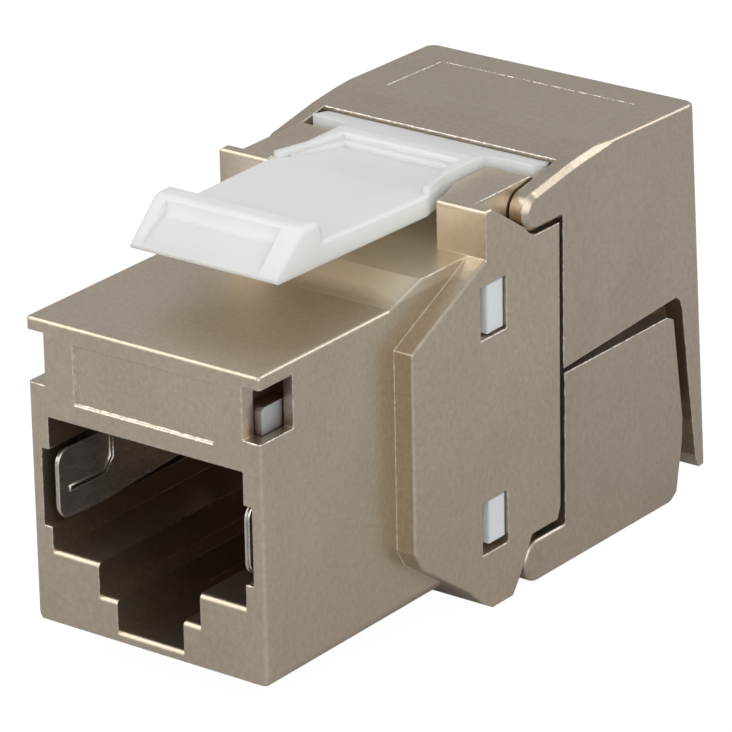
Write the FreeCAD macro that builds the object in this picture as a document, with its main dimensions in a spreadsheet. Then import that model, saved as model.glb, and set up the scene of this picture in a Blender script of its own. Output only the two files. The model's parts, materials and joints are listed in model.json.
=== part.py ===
"""Keystone jack: a shielded RJ45 module with a snap latch and two hinged rear covers.

Every piece is drawn in one datum: x from the middle plane, y back from the front face, z up from
the underside of the plug body. The placement of each body then puts the origin at the middle of
the footprint, on the surface the jack stands on.
"""
import FreeCAD, Part
import os
import re
import Sketcher

# Name, size in millimetres, what it is.
SIZES = [
    ("body_width", 14.5, "plug body, across"),
    ("body_height", 16.6, "plug body, underside to top at the front"),
    ("casting_wall", 0.6, "side walls round the inner hollow"),
    ("roof_wall", 0.7, "wall over the hollow above the port"),
    ("face_plate", 0.9, "front wall round the port"),
    ("edge_round", 0.2, "small rounds along the castings' outer edges"),
    ("plate_round", 0.15, "rounds along the collar plates' front edges"),
    ("belly_round", 0.7, "rounds along the bottom of the plug body"),
    ("nose_rise", 0.3, "chamfer under the nose, height"),
    ("nose_run", 1.15, "chamfer under the nose, depth"),
    ("ramp_start", 10.5, "start of the rise in the body's top"),
    ("ramp_end", 13.1, "end of the rise"),
    ("deck_height", 17.4, "top of the casting behind the rise"),
    ("deck_wall", 0.9, "wall over the rear hollow"),
    ("collar_width", 16.8, "across the collar plates"),
    ("collar_front", 10.75, "front edge of the collar plates"),
    ("collar_back", 23.4, "rear face of the collar"),
    ("collar_low", 3.6, "lower end of the collar's front edge"),
    ("collar_high", 14.4, "upper end of the collar's front edge"),
    ("chin_run", 0.65, "depth of the collar's chin chamfer"),
    ("chin_drop", 1.05, "height of the collar's chin chamfer"),
    ("collar_toe", 15.4, "where the collar's lower slope meets the underside"),
    ("collar_sag", 0.2, "how far the collar hangs there"),
    ("foot_drop", 1.7, "how far the foot hangs below the plug body"),
    ("foot_front", 17.3, "front of the collar's foot"),
    ("foot_length", 1.8, "flat of the collar's foot"),
    ("foot_slope", 0.9, "run of the foot's front slope"),
    ("foot_heel", 0.65, "run of the foot's rear slope"),
    ("lug_floor", 1.1, "recess over the lower hinge lugs"),
    ("ear_depth", 6.35, "front of the ears to the collar's rear face"),
    ("ear_inner", 5.35, "inner side of the ears, from the middle"),
    ("ear_rise", 2.57, "ears, height over the deck"),
    ("ear_flat", 0.55, "flat top of the ears' outer part, front to rear"),
    ("ear_root", 0.8, "ears and knuckles, depth under the deck"),
    ("saddle_inner", 4.65, "inner side of the saddle between ear and knuckle, from the middle"),
    ("saddle_sweep", 2.1, "length of the slanted inner side behind the ear's front"),
    ("saddle_round", 0.45, "rounds at the rear end of the saddle"),
    ("hinge_upper_inset", 1.9, "upper hinge axis, from the collar's rear face"),
    ("hinge_lower_inset", 2.05, "lower hinge axis, from the collar's rear face"),
    ("hinge_rise", 1.2, "upper hinge axis, over the deck"),
    ("hinge_lower_drop", 0.55, "lower hinge axis, under the plug body"),
    ("trunnion", 0.65, "radius of the hinge trunnions"),
    ("hinge_play", 0.05, "running clearance round a trunnion"),
    ("knuckle_inner", 5.75, "inner side of the knuckles, from the middle"),
    ("knuckle_upper", 1.3, "radius of the upper knuckles"),
    ("knuckle_lower", 1.15, "radius of the lower knuckles"),
    ("side_play", 0.1, "gap beside a hinge arm"),
    ("lug_play", 0.12, "gap round the nose of a hinge arm"),
    ("cover_gap", 0.28, "gap between the collar and the closed covers"),
    ("port_wall", 1.15, "side walls of the port"),
    ("port_top", 11.45, "roof line of the port"),
    ("port_sill", 4.25, "upper ledge of the port"),
    ("tab_half_wide", 3.2, "plug tab's upper slot, half width"),
    ("tab_sill", 2.5, "lower ledge of the port"),
    ("tab_half_narrow", 2.1, "plug tab's lower slot, half width"),
    ("tab_floor", 0.85, "floor of the plug tab's slot"),
    ("sill_round", 0.28, "rounds on the front edges of the port's ledges"),
    ("groove_depth", 0.5, "depth of the spring grooves in the port's sides"),
    ("groove_low", 5.5, "lower side of the spring grooves"),
    ("groove_high", 9.7, "upper side of the spring grooves"),
    ("port_depth", 13.4, "depth of the port"),
    ("mid_wall", 1.0, "wall between the port and the rear hollow"),
    ("hollow_floor", 1.7, "floor of the rear hollow"),
    ("notch_width", 1.1, "corner windows, from the body's side"),
    ("notch_low", 13.1, "lower side of the corner windows"),
    ("notch_depth", 2.6, "depth of the corner windows"),
    ("label_half", 4.3, "label panel, half width"),
    ("label_low", 12.5, "label panel, lower side"),
    ("label_high", 15.6, "label panel, upper side"),
    ("label_sink", 0.14, "label panel, depth"),
    ("label_bevel", 0.06, "bevel round the label panel"),
    ("window_setback", 0.85, "collar windows, behind the terminal block's front"),
    ("window_length", 2.25, "collar windows, front to rear"),
    ("window_height", 2.9, "collar windows, height"),
    ("window_inset", 0.4, "upper collar window, below the hollow's roof"),
    ("window_lower_low", 1.45, "lower collar window, lower side"),
    ("cover_inset", 0.02, "covers at the hinge, inside the collar's side"),
    ("cover_flare", 0.2, "covers at the rear, outside the collar's side"),
    ("cover_wall", 1.0, "wall of the covers"),
    ("cover_rise", 3.09, "crown of the upper cover, over the deck"),
    ("crown_run", 2.35, "length of the upper cover's front ramp"),
    ("cover_fall", 0.17, "fall of the cover's top towards the rear"),
    ("cradle_wall", 0.35, "wall of the latch root's cradle"),
    ("cradle_lap", 0.2, "upper edge of the cradle, under the latch root axis"),
    ("lip_setback", 0.65, "front lip of the upper cover, behind the latch root"),
    ("lip_drop", 0.27, "front lip, below the crown"),
    ("lip_edge", 0.27, "thickness of the lip at its edge"),
    ("lip_run", 1.4, "taper behind the lip's edge"),
    ("lug_upper", 1.05, "radius of the upper hinge arms' noses"),
    ("lug_half", 1.15, "straight part of the latch's neck, behind the hinge axis"),
    ("lug_lower", 1.15, "radius of the lower hinge lugs"),
    ("overall_depth", 37.0, "front face to the foot of the upper cover's rear wall"),
    ("rear_lean", 1.25, "lean of the rear wall over its height"),
    ("rear_wall", 1.2, "thickness of the rear walls"),
    ("seam_front", 9.35, "upper cover's lower edge, at the front"),
    ("seam_back", 9.95, "upper cover's lower edge, at the rear"),
    ("seam_inset", 3.1, "rear end of that edge, from the rear wall's foot"),
    ("seam_gap", 0.3, "gap between the covers at the front"),
    ("leg_depth", 2.5, "upper cover's legs at the seam, front to rear"),
    ("leg_drop", 0.5, "lower end of the legs, under the plug body"),
    ("corner_round", 0.65, "upright rear corners of the upper cover"),
    ("brow_chamfer", 0.28, "chamfer along the cover's arms and ramp"),
    ("crest_break", 0.4, "bevel at the foot of the rear wall"),
    ("crest_round", 0.22, "rounds along the top of the upper cover"),
    ("panel_half", 6.2, "panel on the cover's top, half width"),
    ("panel_setback", 1.5, "front of that panel, behind the crown"),
    ("panel_length", 5.0, "panel, front to rear"),
    ("panel_sink", 0.03, "panel, depth"),
    ("lower_inset", 2.3, "rearmost line of the lower cover, from the rear wall's foot"),
    ("heel_run", 1.4, "bevel under the lower cover's rear, run"),
    ("heel_rise", 0.5, "the same bevel, rise"),
    ("lower_jog", 2.5, "height of the step in the lower cover's rear edge"),
    ("jog_depth", 0.2, "depth of that step"),
    ("jog_rise", 0.45, "height of that step's slope"),
    ("lower_taper", 0.7, "lean of the lower cover's rear edge"),
    ("lower_corner", 0.9, "round at the lower cover's upper rear corner"),
    ("lower_round", 0.35, "upright rear corners of the lower cover"),
    ("cable_radius", 4.3, "cable entry between the covers"),
    ("cable_height", 9.3, "centre of the cable entry"),
    ("latch_front", 4.94, "front edge of the latch"),
    ("latch_rise", 1.7, "underside of the latch's leaf, over the deck"),
    ("latch_half", 4.55, "latch, half width at the thumb face"),
    ("latch_toe", 0.3, "latch, height of its front edge"),
    ("latch_round", 0.2, "small rounds on the latch"),
    ("waist_half", 5.0, "latch, half width at the waist"),
    ("waist_play", 0.25, "waist, in front of the ears"),
    ("neck_half", 4.35, "latch, half width between the knuckles"),
    ("neck_run", 2.4, "waist to neck"),
    ("ridge_back", 8.3, "rear of the thumb ridge"),
    ("ridge_flat", 0.8, "top of the thumb ridge, front to rear"),
    ("ridge_heel", 0.3, "rounds along the thumb ridge"),
    ("ridge_rise", 2.3, "top of the thumb ridge, over the leaf's underside"),
    ("leaf_thickness", 1.2, "leaf behind the ridge"),
    ("root_thickness", 0.8, "leaf at its root"),
    ("scoop_radius", 0.9, "hollow of the thumb face, under the ridge"),
    ("scoop_depth", 0.35, "depth of that hollow"),
    ("scoop_drop", 1.0, "deepest line of the hollow, from the top of the thumb face"),
    ("scoop_left", 0.75, "raised left end beside it"),
    ("scoop_right", 1.2, "raised right end beside it"),
    ("rim_height", 0.6, "raised rim round the tray"),
    ("rim_step", 0.3, "lower step of that rim, height"),
    ("rim_ledge", 0.4, "the same step, width"),
    ("rim_width", 1.15, "width of that rim at the rear"),
    ("rim_round", 0.15, "rounds along the rim"),
    ("tray_half", 3.2, "tray, half width at its rear"),
    ("tray_flare", 0.9, "tray, extra half width at its front"),
    ("tray_inset", 3.1, "rear of the tray, in front of the root axis"),
    ("root_setback", 0.6, "latch root axis, behind the collar's rear face"),
    ("root_rise", 1.75, "latch root axis, over the deck"),
    ("root_bead", 0.75, "radius of the latch root's bead"),
    ("strip_height", 0.15, "strip behind the tray, over the leaf at its root"),
    ("strip_play", 0.15, "that strip, in front of the upper cover's lip"),
    ("root_play", 0.38, "latch root, gap to the cover's arms"),
    ("moulding_play", 0.1, "clearance round a moulding in its seat"),
    ("carrier_overlap", 0.2, "contact carrier, behind the port's rear wall"),
    ("shoulder_drop", 1.3, "shoulders at the corner windows, under the carrier's top"),
    ("shoulder_round", 0.6, "round front edge of those shoulders"),
    ("carrier_break", 0.5, "bevels on the carrier's front"),
    ("contact_pitch", 1.02, "spacing of the plug contacts"),
    ("contact_width", 0.45, "plug contact, width of the strip"),
    ("contact_gauge", 0.35, "plug contact, thickness of the strip"),
    ("contact_root_y", 2.7, "plug contact, root axis"),
    ("contact_root_rise", 0.9, "plug contact, root axis over the port's roof line"),
    ("contact_root", 0.35, "plug contact, radius of the root's bend"),
    ("contact_tip_inset", 2.6, "plug contact, lowest point, from the port's rear"),
    ("contact_hook", 0.9, "plug contact, upturned tip"),
    ("contact_fall", 2.15, "plug contact, lowest point under the port's roof line"),
    ("contact_slot", 0.62, "slot in the carrier for one contact"),
    ("spring_gauge", 0.2, "shield spring, thickness of the sheet"),
    ("spring_root_inset", 1.1, "shield spring, root axis, from the port's rear"),
    ("spring_root", 0.22, "shield spring, radius of the rolled root"),
    ("spring_bow_y", 3.4, "shield spring, innermost line"),
    ("spring_reach", 0.35, "shield spring, how far it stands into the port"),
    ("spring_lead", 3.0, "shield spring, length of the turned-out tip"),
    ("spring_flare", 0.15, "shield spring, how far the tip turns out"),
    ("spring_play", 0.3, "shield spring, gap to its groove's edges"),
    ("spring_corner", 0.7, "shield spring, round corners of the tip"),
    ("tongue_front", 1.2, "shield spring, front end of the slot round its tongue"),
    ("tongue_length", 3.4, "the same slot, front to rear"),
    ("tongue_slot", 0.25, "the same slot, width"),
    ("tongue_low", 1.3, "the same slot, over the spring's lower edge"),
    ("board_play", 0.15, "gap in front of the circuit board"),
    ("board_thickness", 1.0, "circuit board"),
    ("block_flange", 3.6, "depth of the terminal block's flange"),
    ("block_inset", 4.8, "rear end of the terminal block, from the rear wall's foot"),
    ("block_break", 1.5, "bevels at the terminal block's rear end"),
    ("block_shoulder", 4.6, "upper deck of the terminal block, under the casting's deck"),
    ("deck_lower", 4.8, "lower deck of the terminal block"),
    ("hook_inset", 0.6, "snap hooks, inside the collar's side"),
    ("hook_ramp", 0.7, "lead-in of the snap hooks"),
    ("terminal_offset", 0.75, "row of terminals, in front of the wire holders' middle"),
    ("terminal_pitch", 3.2, "spacing of the terminals"),
    ("terminal_width", 1.8, "blade, across"),
    ("terminal_gauge", 0.4, "blade, thickness"),
    ("terminal_reach", 2.6, "blade, height over its deck"),
    ("terminal_root", 1.5, "blade, length inside the block"),
    ("terminal_slot", 0.3, "slot that grips a conductor"),
    ("terminal_mouth", 0.25, "lead-in of that slot, to each side"),
    ("terminal_fit", 0.02, "gap round a blade in its slot"),
    ("holder_setback", 2.2, "front of the wire holders, behind the collar"),
    ("holder_inset", 4.1, "rear of the wire holders, from the rear wall's foot"),
    ("holder_gap", 0.4, "gap between a wire holder and the deck"),
    ("holder_play", 0.2, "gap beside a wire holder"),
    ("channel_width", 1.35, "wire channel, width"),
    ("channel_depth", 1.5, "wire channel, depth"),
    ("trough_wall", 0.7, "walls round the trough for the blades"),
    ("trough_play", 0.6, "trough, behind the blades"),
    ("trough_depth", 2.9, "trough for the blades, depth"),
]
# Name, formula, what it is: places and widths that follow from the sizes.
PLACES = [
    ("front_roof", "min(body_height; deck_height) - roof_wall", "roof of the hollow above the port"),
    ("hollow_half", "body_width / 2 - casting_wall", "inner hollows, half width"),
    ("hollow_front", "port_depth + mid_wall", "front of the rear hollow"),
    ("hollow_roof", "deck_height - deck_wall", "roof of the rear hollow"),
    ("moulding_half", "hollow_half - moulding_play", "mouldings in the hollows, half width"),
    ("ear_front", "collar_back - ear_depth", "front face of the ears"),
    ("ear_height", "deck_height + ear_rise", "top of the ears"),
    ("ear_crown", "ear_front + ear_flat", "rear end of the ears' flat top"),
    ("foot_back", "foot_front + foot_length", "rear of the collar's foot"),
    ("hinge_upper_y", "collar_back - hinge_upper_inset", "upper hinge axis"),
    ("hinge_upper_z", "deck_height + hinge_rise", "upper hinge axis"),
    ("hinge_lower_y", "collar_back - hinge_lower_inset", "lower hinge axis"),
    ("hinge_lower_z", "-hinge_lower_drop", "lower hinge axis"),
    ("port_half", "body_width / 2 - port_wall", "port, half width"),
    ("groove_half", "port_half + groove_depth", "spring grooves, from the middle"),
    ("notch_inner", "body_width / 2 - notch_width", "inner side of the corner windows"),
    ("board_front", "hollow_front + board_play", "front face of the circuit board"),
    ("board_back", "board_front + board_thickness", "rear face of the circuit board"),
    ("block_front", "board_back + moulding_play", "front of the terminal block"),
    ("block_back", "overall_depth - block_inset", "rear end of the terminal block"),
    ("deck_upper", "deck_height - block_shoulder", "upper deck of the terminal block"),
    ("block_low", "hollow_floor + moulding_play", "lower side of what fills the rear hollow"),
    ("block_high", "hollow_roof - moulding_play", "upper side of what fills the rear hollow"),
    ("window_front", "block_front + window_setback", "collar windows, front side"),
    ("window_back", "window_front + window_length", "collar windows, rear side"),
    ("window_upper_high", "hollow_roof - window_inset", "upper collar window, upper side"),
    ("window_upper_low", "window_upper_high - window_height", "upper collar window, lower side"),
    ("window_lower_high", "window_lower_low + window_height", "lower collar window, upper side"),
    ("hook_out", "collar_width / 2 - hook_inset", "outer side of the snap hooks"),
    ("cover_front_half", "collar_width / 2 - cover_inset", "covers, half width at the hinge"),
    ("cover_back_half", "collar_width / 2 + cover_flare", "covers, half width at the rear"),
    ("arm_inner", "cover_front_half - cover_wall", "inner side of the covers' walls"),
    ("knuckle_outer", "arm_inner - side_play", "outer side of the knuckles"),
    ("cover_top", "deck_height + cover_rise", "crown of the upper cover"),
    ("cover_rear", "cover_top - cover_fall", "top of the upper cover at its rear"),
    ("root_y", "collar_back + root_setback", "latch root axis"),
    ("root_z", "deck_height + root_rise", "latch root axis"),
    ("root_half", "arm_inner - root_play", "latch root, half width"),
    ("lip_front", "root_y + lip_setback", "front lip of the upper cover"),
    ("lip_top", "cover_top - lip_drop", "top of that lip"),
    ("cover_crown", "lip_front + crown_run", "where the cover's front ramp ends"),
    ("cheek_upper", "collar_back + cover_gap", "front edge of the upper cover's cheeks"),
    ("cheek_lower", "cheek_upper + side_play", "front edge of the lower cover's cheeks"),
    ("seam_end", "overall_depth - seam_inset", "rear end of the seam"),
    ("seam_low", "seam_front - seam_gap", "upper edge of the lower cover"),
    ("leg_front", "overall_depth - leg_depth", "front side of the upper cover's legs"),
    ("lower_back", "overall_depth - lower_inset", "rearmost line of the lower cover"),
    ("latch_under", "deck_height + latch_rise", "underside of the latch's leaf"),
    ("ridge_top", "latch_under + ridge_rise", "top of the thumb ridge"),
    ("leaf_top", "latch_under + leaf_thickness", "top of the leaf behind the ridge"),
    ("leaf_end", "latch_under + root_thickness", "top of the leaf at its root"),
    ("waist_back", "ear_front - waist_play", "position of the waist"),
    ("tray_back", "root_y - tray_inset", "rear of the tray"),
    ("thumb_back", "ridge_back - ridge_heel - ridge_flat", "upper end of the thumb face"),
    ("thumb_run", "thumb_back - latch_front", "thumb face, run"),
    ("thumb_climb", "ridge_rise - latch_toe", "thumb face, rise"),
    ("thumb_length", "sqrt(thumb_run * thumb_run + thumb_climb * thumb_climb)", "thumb face, length"),
    ("scoop_shift", "(scoop_radius - scoop_depth) / thumb_length", "scoop's axis off the thumb face"),
    ("scoop_way", "1 - scoop_drop / thumb_length", "scoop's axis, share of the way up the thumb face"),
    ("scoop_sink", "scoop_depth / thumb_length", "scoop's deepest line, under the thumb face"),
    ("scoop_y", "latch_front + scoop_way * thumb_run - scoop_shift * thumb_climb", "scoop's axis"),
    ("scoop_z", "latch_under + latch_toe + scoop_way * thumb_climb + scoop_shift * thumb_run", "scoop's axis"),
    ("strip_back", "lip_front - strip_play", "rear edge of the strip behind the tray"),
    ("strip_top", "leaf_end + strip_height", "top of that strip"),
    ("carrier_back", "port_depth + carrier_overlap", "rear face of the contact carrier"),
    ("contact_root_z", "port_top + contact_root_rise", "plug contact, root axis"),
    ("contact_tip_y", "port_depth - contact_tip_inset", "plug contact, lowest point"),
    ("contact_tip_z", "port_top - contact_fall", "plug contact, lowest point"),
    ("spring_root_x", "groove_half - spring_root - terminal_fit", "shield spring, root axis"),
    ("spring_root_y", "port_depth - spring_root_inset", "shield spring, root axis"),
    ("spring_bow", "port_half - spring_reach", "shield spring, innermost line, from the middle"),
    ("spring_low", "groove_low + spring_play", "shield spring, lower edge"),
    ("spring_high", "groove_high - spring_play", "shield spring, upper edge"),
    ("holder_front", "collar_back + holder_setback", "front of the wire holders"),
    ("holder_back", "overall_depth - holder_inset", "rear of the wire holders"),
    ("holder_half", "arm_inner - holder_play", "wire holders, half width"),
    ("top_slope", "cover_fall / (overall_depth - rear_lean - cover_crown)", "slope of the cover's top"),
    ("terminal_y", "(holder_front + holder_back) / 2 - terminal_offset", "row of terminals"),
]
ALIASES = {name for name, size, meaning in SIZES + PLACES}
CONTACTS = 8
TERMINALS_PER_ROW = 4
FAR = 30
EDGE_MARGIN = 0.02

doc = FreeCAD.newDocument("keystone_jack")
sheet = doc.addObject("Spreadsheet::Sheet", "Sizes")
for row, (alias, size, meaning) in enumerate(SIZES + PLACES, start=1):
    sheet.set(f"A{row}", meaning)
    sheet.set(f"B{row}", str(size) if isinstance(size, float) else f"={size}")
    sheet.setAlias(f"B{row}", alias)
doc.recompute()


def bound(text):
    """Writes the sheet's name before each size used in an expression."""
    return re.sub(rf"\b({'|'.join(ALIASES)})\b", r"Sizes.\1", str(text))


def number(text):
    """The present value of an expression."""
    return float(sheet.evalExpression(bound(text)))


def new_body(label):
    """An empty body whose placement moves the shared datum to the jack's own origin."""
    body = doc.addObject("PartDesign::Body", label)
    body.Label = label
    body.setExpression("Placement.Base.y", bound("-overall_depth / 2"))
    body.setExpression("Placement.Base.z", bound("foot_drop"))
    return body


def pin(sketch, geometry, point, spot):
    """Fixes one point of a sketch at a spot given by two expressions."""
    for kind, text in zip(("DistanceX", "DistanceY"), spot):
        index = sketch.addConstraint(Sketcher.Constraint(kind, -1, 1, geometry, point, number(text)))
        sketch.setExpression(f"Constraints[{index}]", bound(text))


def draw_loop(sketch, spots):
    """A closed outline of straight lines through the spots."""
    first = sketch.GeometryCount
    corners = [FreeCAD.Vector(number(u), number(v), 0) for u, v in spots]
    for start, end in zip(corners, corners[1:] + corners[:1]):
        sketch.addGeometry(Part.LineSegment(start, end), False)
    for step in range(len(spots)):
        following = first + (step + 1) % len(spots)
        sketch.addConstraint(Sketcher.Constraint("Coincident", first + step, 2, following, 1))
        pin(sketch, first + step, 1, spots[step])


def draw_circle(sketch, u, v, radius):
    centre = FreeCAD.Vector(number(u), number(v), 0)
    index = sketch.addGeometry(Part.Circle(centre, FreeCAD.Vector(0, 0, 1), number(radius)), False)
    size = sketch.addConstraint(Sketcher.Constraint("Radius", index, number(radius)))
    sketch.setExpression(f"Constraints[{size}]", bound(radius))
    pin(sketch, index, 3, (u, v))


def prism(body, kind, name, plane, start, end, loops=(), circles=()):
    """A pad or pocket of one sketch, from start to end along the normal of an origin plane.

    A sketch on XY is seen from above, one on XZ from the front, and one on YZ from the right,
    with y across.
    """
    sketch = body.newObject("Sketcher::SketchObject", f"{body.Name}_{name}_sketch")
    support = next(f for f in body.Origin.OriginFeatures if f.Role == f"{plane}_Plane")
    sketch.AttachmentSupport = [(support, "")]
    sketch.MapMode = "FlatFace"
    sign = "-" if plane == "XZ" else ""
    sketch.setExpression("AttachmentOffset.Base.z", bound(f"{sign}(({start}) + ({end})) / 2"))
    for spots in loops:
        draw_loop(sketch, spots)
    for u, v, radius in circles:
        draw_circle(sketch, u, v, radius)
    feature = body.newObject(f"PartDesign::{kind}", f"{body.Name}_{name}")
    feature.Profile = sketch
    feature.Midplane = True
    feature.setExpression("Length", bound(f"({end}) - ({start})"))
    return feature


def pad(body, name, plane, start, end, loops=(), circles=()):
    return prism(body, "Pad", name, plane, start, end, loops, circles)


def pocket(body, name, plane, start, end, loops=(), circles=()):
    return prism(body, "Pocket", name, plane, start, end, loops, circles)


def rectangle(u_low, v_low, u_high, v_high):
    return [(u_low, v_low), (u_high, v_low), (u_high, v_high), (u_low, v_high)]


def mirrored(spots):
    """The same outline on the other side of the middle plane."""
    return [(f"-({u})", v) for u, v in reversed(spots)]


def both_sides(low, high):
    """A box between two corners, and its mirror image on the other side of the middle plane."""
    return [(low, high), ((f"-({high[0]})", *low[1:]), (f"-({low[0]})", *high[1:]))]


def edges_within(body, boxes):
    """Names of the edges, as the body is so far, that lie wholly inside one of the boxes."""
    doc.recompute()
    names = []
    for low, high in boxes:
        box = FreeCAD.BoundBox(*(number(text) for text in low + high))
        box.enlarge(EDGE_MARGIN)
        names += [f"Edge{index}" for index, edge in enumerate(body.Tip.Shape.Edges, start=1)
                  if box.isInside(edge.BoundBox)]
    return sorted(set(names))


def soften(body, kind, name, size, boxes):
    """A fillet or chamfer on the edges found inside the boxes."""
    edges = edges_within(body, boxes)
    if not edges:
        raise RuntimeError(f"{body.Label}: no edge for {name}")
    base = body.Tip
    feature = body.newObject(f"PartDesign::{kind}", f"{body.Name}_{name}")
    feature.Base = (base, edges)
    feature.setExpression("Radius" if kind == "Fillet" else "Size", bound(size))
    return feature


def make_front_housing():
    """Zinc casting: plug body, collar plates, foot, ears, hinge knuckles and latch cradle."""
    body = new_body("front_housing")
    side, plate = "body_width / 2", "collar_width / 2"
    pad(body, "plug_body", "YZ", f"-{side}", side, [[
        (0, "nose_rise"), ("nose_run", 0), ("foot_front", 0), ("foot_front", "deck_height"),
        ("ramp_end", "deck_height"), ("ramp_start", "body_height"), (0, "body_height")]])
    soften(body, "Fillet", "belly_rounds", "belly_round", both_sides(
        (side, "nose_run", "0"), (side, "foot_front", "0")))
    soften(body, "Fillet", "body_rounds", "edge_round", both_sides(
        (side, "0", "nose_rise"), (side, "ramp_end", "deck_height")) + [
        ((f"-{side}", "0", "body_height"), (side, "0", "body_height"))])
    pad(body, "collar", "YZ", f"-{plate}", plate, [[
        ("collar_front", "collar_low"), ("collar_front", "collar_high"), ("ear_front", "deck_height"),
        ("collar_back", "deck_height"), ("collar_back", "lug_floor + foot_heel"),
        ("collar_back - cover_gap", "lug_floor"), ("hinge_lower_y - lug_lower + foot_heel", "lug_floor"),
        ("foot_back + foot_heel", "-foot_drop / 2"), ("foot_back", "-foot_drop"),
        ("foot_front", "-foot_drop"), ("foot_front - foot_slope", "-foot_drop * 2 / 3"),
        ("collar_toe", "-collar_sag"), ("collar_front + chin_run", "collar_low - chin_drop")]])
    soften(body, "Fillet", "plate_rounds", "plate_round", both_sides(
        (plate, "collar_front", "-foot_drop"), (plate, "ear_front", "deck_height")))
    ear = [("ear_front", "deck_height - ear_root"), ("ear_front", "ear_height"), ("ear_crown", "ear_height"),
           ("hinge_upper_y", "deck_height"), ("hinge_upper_y", "deck_height - ear_root")]
    saddle_back = "hinge_upper_y + knuckle_upper"
    saddle = [("knuckle_outer + edge_round", "ear_front"), ("knuckle_outer + edge_round", "ear_crown"),
              ("knuckle_outer", "ear_crown"), ("knuckle_outer", saddle_back),
              ("ear_inner", saddle_back), ("saddle_inner", f"{saddle_back} - saddle_round"),
              ("saddle_inner", "ear_front + saddle_sweep + ear_flat"), ("ear_inner", "ear_front + ear_flat"),
              ("ear_inner", "ear_front")]
    lower_web = rectangle("hinge_lower_y - knuckle_lower", "hinge_lower_z",
                          "hinge_lower_y + knuckle_lower", "lug_floor + foot_heel")
    seat_front, seat_back = "root_y - root_bead - lip_setback", "root_y + root_bead + cradle_wall"
    cradle = [(seat_front, "deck_height - cradle_wall"), ("collar_back - side_play", "deck_height - deck_wall"),
              (seat_back, "deck_height + cradle_wall"), (seat_back, "root_z - cradle_lap"),
              ("root_y", "root_z - cradle_lap"), ("root_y", "latch_under - cradle_wall"),
              (seat_front, "latch_under - cradle_wall")]
    for name, low, high in (("right", "{0}", "{1}"), ("left", "-{1}", "-{0}")):
        pad(body, f"ear_{name}", "YZ", low.format("ear_inner", f"({plate})"),
            high.format("ear_inner", f"({plate})"), [ear])
    pad(body, "saddles", "XY", "deck_height - ear_root", "ear_height", [saddle, mirrored(saddle)])
    soften(body, "Fillet", "ear_rounds", "edge_round", both_sides(
        (plate, "ear_front", "deck_height"), (plate, "hinge_upper_y", "ear_height")) + both_sides(
        ("ear_inner", "ear_front", "ear_height"), (plate, "ear_front", "ear_height")))
    soften(body, "Fillet", "saddle_rounds", "saddle_round", both_sides(
        ("ear_inner", saddle_back, "ear_height"), ("knuckle_outer", saddle_back, "ear_height")))
    for name, low, high in (("right", "{0}", "{1}"), ("left", "-{1}", "-{0}")):
        start, end = (text.format("knuckle_inner", "knuckle_outer") for text in (low, high))
        pad(body, f"lower_web_{name}", "YZ", start, end, [lower_web])
        pad(body, f"lower_knuckle_{name}", "YZ", start, end,
            circles=[("hinge_lower_y", "hinge_lower_z", "knuckle_lower")])
    pad(body, "latch_cradle", "YZ", "-root_half", "root_half", [cradle])
    pocket(body, "cradle_trough", "YZ", -FAR, FAR, circles=[("root_y", "root_z", "root_bead + hinge_play")])
    pocket(body, "hinge_bores", "YZ", "-collar_width", "collar_width", circles=[
        ("hinge_upper_y", "hinge_upper_z", "trunnion + hinge_play"),
        ("hinge_lower_y", "hinge_lower_z", "trunnion + hinge_play")])
    for name, low, high in (("right", "knuckle_outer", "collar_width"),
                            ("left", "-collar_width", "-knuckle_outer")):
        pocket(body, f"lug_sweep_{name}", "YZ", low, high, circles=[
            ("hinge_upper_y", "hinge_upper_z", "lug_upper + lug_play"),
            ("hinge_lower_y", "hinge_lower_z", "lug_lower + lug_play")])
    half_port = [("tab_half_narrow", "tab_floor"), ("tab_half_narrow", "tab_sill"),
                 ("tab_half_wide", "tab_sill"), ("tab_half_wide", "port_sill"),
                 ("port_half", "port_sill"), ("port_half", "groove_low"),
                 ("groove_half", "groove_low"), ("groove_half", "groove_high"),
                 ("port_half", "groove_high"), ("port_half", "port_top")]
    pocket(body, "port", "XZ", "-face_plate", "port_depth", [half_port + mirrored(half_port)])
    soften(body, "Fillet", "sill_rounds", "sill_round", [
        (("-tab_half_narrow", "0", "tab_floor"), ("tab_half_narrow", "0", "tab_floor")),
        *both_sides(("tab_half_narrow", "0", "tab_sill"), ("tab_half_wide", "0", "tab_sill")),
        *both_sides(("tab_half_wide", "0", "port_sill"), ("port_half", "0", "port_sill"))])
    pocket(body, "carrier_hollow", "XY", "port_top", "front_roof", [
        rectangle("-hollow_half", "face_plate", "hollow_half", "hollow_front + mid_wall")])
    pocket(body, "rear_hollow", "XY", "hollow_floor", "hollow_roof", [
        rectangle("-hollow_half", "hollow_front", "hollow_half", "overall_depth")])
    notch = rectangle("notch_inner", "-face_plate", "body_width", "notch_depth")
    pocket(body, "corner_windows", "XY", "notch_low", "front_roof", [notch, mirrored(notch)])
    pocket(body, "label_panel", "XZ", "-face_plate", "label_sink", [
        rectangle("-label_half", "label_low", "label_half", "label_high")])
    soften(body, "Chamfer", "label_bevels", "label_bevel", [
        (("-label_half", "0", "label_low"), ("label_half", "0", "label_high"))])
    pocket(body, "hook_windows", "YZ", "-collar_width", "collar_width", [
        rectangle("window_front", "window_upper_low", "window_back", "window_upper_high"),
        rectangle("window_front", "window_lower_low", "window_back", "window_lower_high")])
    return body


def taper_sides(body):
    """Trims a cover's sides so that it widens a little towards the rear."""
    sliver = [("cover_front_half", "ear_front"), ("cover_back_half + cover_wall", "ear_front"),
              ("cover_back_half + cover_wall", "overall_depth"), ("cover_back_half", "overall_depth")]
    pocket(body, "side_taper", "XY", -FAR, FAR, [sliver, mirrored(sliver)])


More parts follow.
